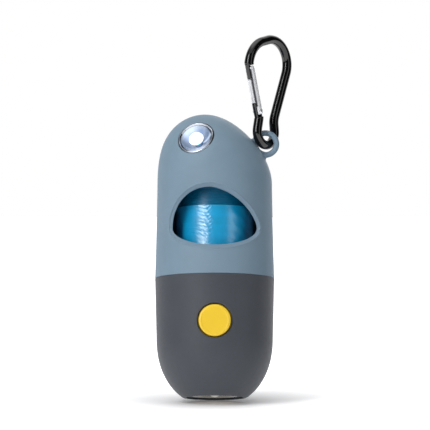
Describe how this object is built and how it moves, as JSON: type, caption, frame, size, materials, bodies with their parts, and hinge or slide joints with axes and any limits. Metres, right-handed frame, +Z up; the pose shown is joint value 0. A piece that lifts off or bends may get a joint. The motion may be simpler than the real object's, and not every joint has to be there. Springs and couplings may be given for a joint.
{
  "type": "bag dispenser",
  "caption": "Pill-shaped dispenser for rolls of bags, in two shells that pull apart, with a lamp, a push button and a carabiner in a loop.",
  "frame": {"origin": "on the body's axis, in the plane of the rim that it stands on", "axes": "+Z up along the body, -Y out of the window and the button, +X towards the loop"},
  "size_m": [0.055, 0.0478, 0.1467],
  "materials": {
    "upper_plastic": "soft-touch matt",
    "lower_plastic": "soft-touch matt",
    "button_plastic": "fine matt",
    "bezel_chrome": "polished",
    "reflector_chrome": "polished",
    "cap_metal": "polished",
    "lens": "clear, lit",
    "led": "matt",
    "board": "solder mask",
    "brass": "bright",
    "rubber": "matt",
    "film": "glossy film",
    "cardboard": "plain",
    "black_plastic": "fine matt",
    "steel": "zinc plated",
    "black_wire": "gloss black anodised",
    "gate_metal": "bright",
    "cell_sleeve": "gloss sleeve",
    "lead_red": "satin",
    "lead_black": "satin"
  },
  "bodies": {
    "base": {"lower_shell": "lower_plastic", "battery_tube": "black_plastic", "battery_cell": "cell_sleeve", "positive_contact": "brass", "negative_contact": "brass", "deck_plate": "black_plastic", "deck_screws": "steel", "roll_spindle": "black_plastic", "neck_seal": "rubber", "switch_board": "board", "switch_body": "black_plastic", "driver_chip": "black_plastic", "board_parts": "led", "board_screws": "steel", "contact_fingers": "brass", "battery_wire_red": "lead_red", "battery_wire_black": "lead_black", "finger_wire_red": "lead_red", "finger_wire_black": "lead_black"},
    "upper": {"upper_shell": "upper_plastic", "lamp_bezel": "bezel_chrome", "lamp_reflector": "reflector_chrome", "led_lens": "lens", "led_base": "led", "led_board": "led", "lamp_gasket": "rubber", "lamp_cup": "black_plastic", "lamp_screws": "steel", "contact_strips": "brass", "lamp_wire_red": "lead_red", "lamp_wire_black": "lead_black"},
    "roll": {"roll_core": "cardboard", "bag_roll": "film"},
    "button": {"button_cap": "button_plastic", "switch_plunger": "black_plastic"},
    "cap": {"battery_cap": "cap_metal", "cap_rivet": "cap_metal", "cap_spring": "steel", "cap_seal": "rubber"},
    "clip": {"carabiner_frame": "black_wire", "gate_pin": "steel"},
    "gate": {"clip_gate": "gate_metal", "gate_spring": "steel"}
  },
  "joints": [
    {"name": "upper_pull", "type": "slide", "parent": "base", "child": "upper", "axis": [0, 0, 1], "range_m": [0, 0.058]},
    {"name": "roll_spin", "type": "hinge", "parent": "base", "child": "roll", "pos_m": [0, 0, 0.069], "axis": [0, 0, 1], "continuous": true},
    {"name": "button_press", "type": "slide", "parent": "base", "child": "button", "axis": [0, 1, 0], "range_m": [0, 0.0008], "stiffness_N_per_m": 400, "springref_m": -0.002},
    {"name": "cap_turn", "type": "hinge", "parent": "base", "child": "cap", "pos_m": [0, 0, 0.003], "axis": [0, 0, 1], "range_deg": [0, 60]},
    {"name": "clip_swing", "type": "hinge", "parent": "upper", "child": "clip", "pos_m": [0.0204, 0, 0.1023], "axis": [0, 1, 0], "range_deg": [0, 105]},
    {"name": "gate_open", "type": "hinge", "parent": "clip", "child": "gate", "pos_m": [0.01731, -0.00421, 0.11506], "axis": [-0.7656, 0.6428, 0.0267], "range_deg": [0, 32], "stiffness_Nm_per_rad": 0.002, "springref_deg": -17.19}
  ]
}
